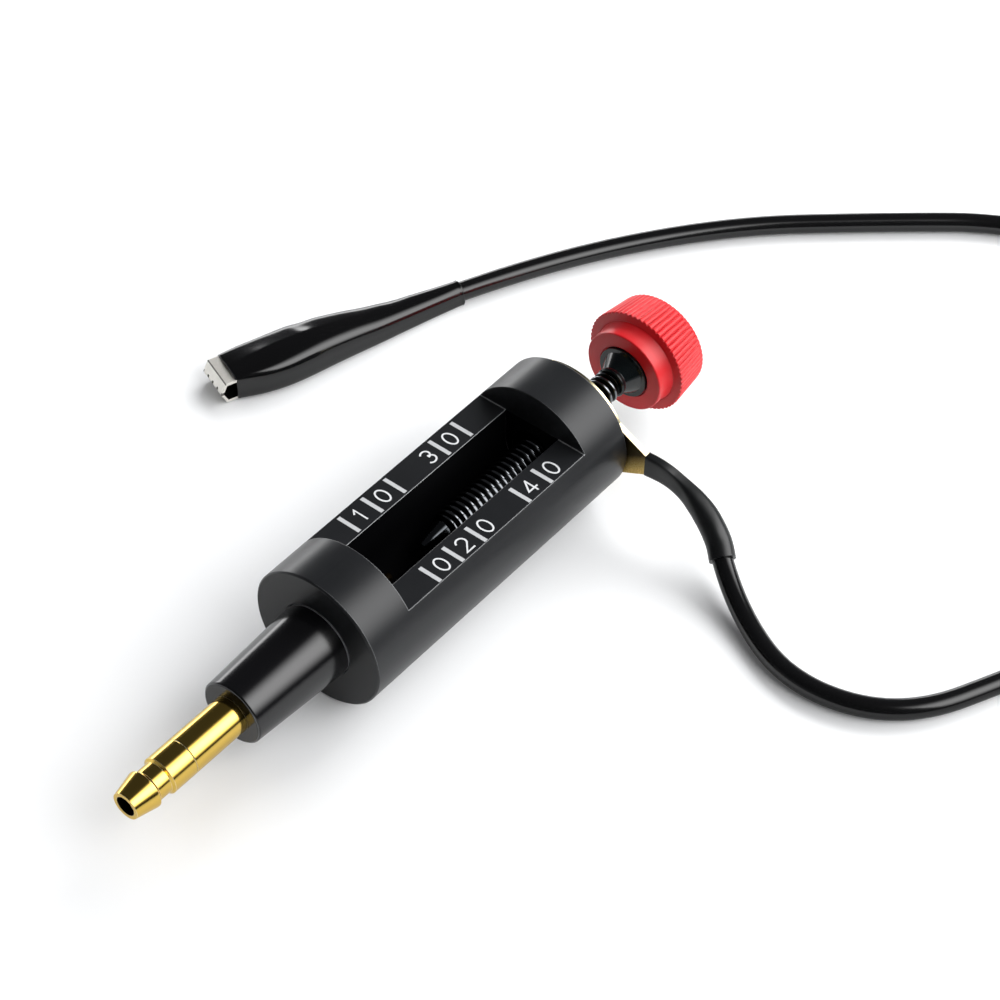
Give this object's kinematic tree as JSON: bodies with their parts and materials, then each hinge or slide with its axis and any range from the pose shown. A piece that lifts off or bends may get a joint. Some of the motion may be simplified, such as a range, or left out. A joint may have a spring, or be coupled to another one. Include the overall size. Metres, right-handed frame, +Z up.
{
  "type": "inline spark tester",
  "caption": "Adjustable inline ignition spark tester: round black body with an open scale window, brass plug terminal, red screw knob and a ground lead with a booted clip.",
  "frame": {"origin": "on the tester's axis, in the flat end of the plug insulator, where the brass terminal comes out of it", "axes": "+X along the axis, from the high-voltage terminal to the knob; +Z up, away from the table that the tester lies on; +Y away from the ground tab"},
  "size_m": [0.2104, 0.1579, 0.025],
  "materials": {
    "casing_black": "satin moulded",
    "insulator_black": "glossy moulded",
    "brass": "bright turned",
    "dark_steel": "blackened, glossy",
    "knob_red": "satin red",
    "sleeve_black": "satin heat-shrink",
    "cord_black": "glossy jacket",
    "boot_black": "glossy dipped vinyl",
    "clip_steel": "plated sheet",
    "strand_copper": "bare copper strands"
  },
  "bodies": {
    "tester": {"casing": "casing_black", "plug_insulator": "insulator_black", "terminal_barrel": "brass", "terminal_nut": "brass", "electrode_rod": "brass", "electrode_washer": "dark_steel", "electrode_nut": "dark_steel", "threaded_bush": "brass", "ground_plate": "brass", "heat_shrink_sleeve": "sleeve_black", "ground_cord": "cord_black", "clip_boot": "boot_black", "clip_lower_jaw": "clip_steel", "clip_pivot_pin": "clip_steel", "clip_spring": "clip_steel", "clip_strands": "strand_copper"},
    "advance": {"knob_bush": "dark_steel"},
    "adjuster": {"adjusting_screw": "dark_steel", "knob": "knob_red"},
    "upper_jaw": {"clip_upper_jaw": "clip_steel"}
  },
  "joints": [
    {"name": "screw_advance", "type": "slide", "parent": "tester", "child": "advance", "axis": [1, 0, 0], "range_m": [-0.0077, 0.022]},
    {"name": "knob_turn", "type": "hinge", "parent": "advance", "child": "adjuster", "pos_m": [0.095, 0, 0], "axis": [1, 0, 0], "range_deg": [-2190, 6240]},
    {"name": "jaw_open", "type": "hinge", "parent": "tester", "child": "upper_jaw", "pos_m": [0.07275, 0.0527, -0.0093], "axis": [0.3575, 0.9339, 0], "range_deg": [0, 16], "stiffness_Nm_per_rad": 0.004, "springref_deg": -17.19, "deforming": ["clip_boot", "clip_spring"]}
  ],
  "couplings": [
    {"joint": "knob_turn", "follows": "screw_advance", "rad_per_m": 4947.4}
  ]
}
